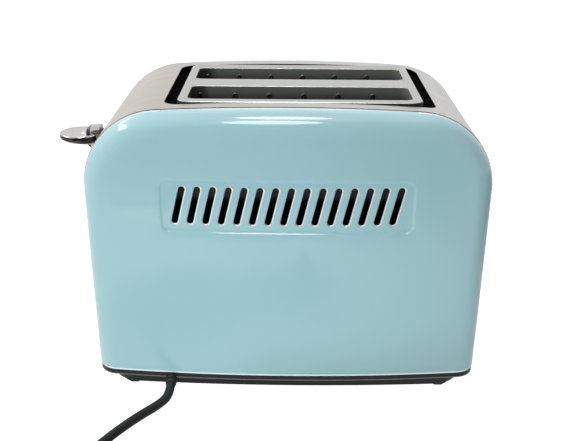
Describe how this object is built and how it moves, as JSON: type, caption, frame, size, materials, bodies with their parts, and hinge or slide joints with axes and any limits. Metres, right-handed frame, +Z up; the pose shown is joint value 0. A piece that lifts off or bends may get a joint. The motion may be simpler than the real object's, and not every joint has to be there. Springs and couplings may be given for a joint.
{
  "type": "two-slice pop-up toaster",
  "caption": "Retro long-sided pop-up toaster with painted side panels, a steel wrap, bread slots, a lever carriage and a mains lead.",
  "frame": {"origin": "On the plane of the feet's undersides, under the middle of the housing and its lever taken together", "axes": "+X along the bread slots, away from the lever; +Y across the slots, away from the vented side; +Z up"},
  "size_m": [0.2868, 0.3471, 0.1922],
  "materials": {
    "aqua_paint": "glossy pale aqua paint",
    "brushed_steel": "brushed stainless steel",
    "chrome": "polished chrome plate",
    "black_plastic": "matt black moulded plastic",
    "black_gloss": "smooth black moulded plastic",
    "rubber": "matt black rubber",
    "plated_steel": "dull zinc-plated steel sheet",
    "mica": "pale brown mica board",
    "ribbon": "oxidised heating ribbon",
    "wire": "bright drawn steel wire",
    "copper": "enamelled copper winding",
    "iron": "laminated iron",
    "board": "green fibre board",
    "brass": "bright brass",
    "nickel": "nickel-plated brass"
  },
  "bodies": {
    "housing": {"steel_wrap": "brushed_steel", "vented_panel": "aqua_paint", "plain_panel": "aqua_paint", "slot_plate": "brushed_steel", "slot_frame": "black_plastic", "base_tray": "black_plastic", "feet": "rubber", "base_screws": "plated_steel", "lever_end_plate": "plated_steel", "far_end_plate": "plated_steel", "near_reflector": "plated_steel", "far_reflector": "plated_steel", "near_mica_card": "mica", "middle_mica_card": "mica", "far_mica_card": "mica", "near_ribbon": "ribbon", "middle_ribbons": "ribbon", "far_ribbon": "ribbon", "guide_rods": "wire", "return_spring": "wire", "magnet_core": "iron", "magnet_coils": "copper", "power_switch": "black_plastic", "switch_contacts": "brass", "control_frame": "black_plastic", "circuit_board": "board", "tact_switches": "black_plastic", "potentiometer": "black_plastic", "dial_ring": "chrome", "cord_gland": "rubber", "mains_cord": "rubber", "cord_coil": "rubber", "cord_tail": "rubber", "plug_body": "rubber", "plug_pins": "nickel"},
    "carriage": {"carriage_bracket": "plated_steel", "lever_knob": "chrome", "near_bread_rack": "plated_steel", "far_bread_rack": "plated_steel", "armature": "iron"},
    "near_outer_guide": {"near_outer_guide": "wire"},
    "near_inner_guide": {"near_inner_guide": "wire"},
    "far_inner_guide": {"far_inner_guide": "wire"},
    "far_outer_guide": {"far_outer_guide": "wire"},
    "browning_dial": {"dial_knob": "black_gloss"},
    "reheat_button": {"reheat_button": "black_gloss"},
    "cancel_button": {"cancel_button": "black_gloss"},
    "defrost_button": {"defrost_button": "black_gloss"},
    "crumb_tray": {"crumb_tray": "plated_steel"}
  },
  "joints": [
    {"name": "carriage_slide", "type": "slide", "parent": "housing", "child": "carriage", "axis": [0, 0, -1], "range_m": [0, 0.065], "stiffness_N_per_m": 45, "springref_m": -0.09, "deforming": ["return_spring"]},
    {"name": "near_outer_guide_tilt", "type": "hinge", "parent": "housing", "child": "near_outer_guide", "pos_m": [0.0221, -0.0361, 0.028], "axis": [-1, 0, 0], "range_deg": [0, 3.5]},
    {"name": "near_inner_guide_tilt", "type": "hinge", "parent": "housing", "child": "near_inner_guide", "pos_m": [0.0221, -0.0171, 0.028], "axis": [1, 0, 0], "range_deg": [0, 3.5]},
    {"name": "far_inner_guide_tilt", "type": "hinge", "parent": "housing", "child": "far_inner_guide", "pos_m": [0.0221, 0.0171, 0.028], "axis": [-1, 0, 0], "range_deg": [0, 3.5]},
    {"name": "far_outer_guide_tilt", "type": "hinge", "parent": "housing", "child": "far_outer_guide", "pos_m": [0.0221, 0.0361, 0.028], "axis": [1, 0, 0], "range_deg": [0, 3.5]},
    {"name": "dial_turn", "type": "hinge", "parent": "housing", "child": "browning_dial", "pos_m": [-0.1131, 0, 0.062], "axis": [-1, 0, 0], "range_deg": [0, 270]},
    {"name": "reheat_press", "type": "slide", "parent": "housing", "child": "reheat_button", "axis": [1, 0, 0], "range_m": [0, 0.002], "stiffness_N_per_m": 500, "springref_m": -0.002},
    {"name": "cancel_press", "type": "slide", "parent": "housing", "child": "cancel_button", "axis": [1, 0, 0], "range_m": [0, 0.002], "stiffness_N_per_m": 500, "springref_m": -0.002},
    {"name": "defrost_press", "type": "slide", "parent": "housing", "child": "defrost_button", "axis": [1, 0, 0], "range_m": [0, 0.002], "stiffness_N_per_m": 500, "springref_m": -0.002},
    {"name": "crumb_tray_pull", "type": "slide", "parent": "housing", "child": "crumb_tray", "axis": [1, 0, 0], "range_m": [0, 0.185]}
  ],
  "couplings": [
    {"joint": "near_outer_guide_tilt", "follows": "carriage_slide", "rad_per_m": 0.91},
    {"joint": "near_inner_guide_tilt", "follows": "carriage_slide", "rad_per_m": 0.91},
    {"joint": "far_inner_guide_tilt", "follows": "carriage_slide", "rad_per_m": 0.91},
    {"joint": "far_outer_guide_tilt", "follows": "carriage_slide", "rad_per_m": 0.91}
  ]
}
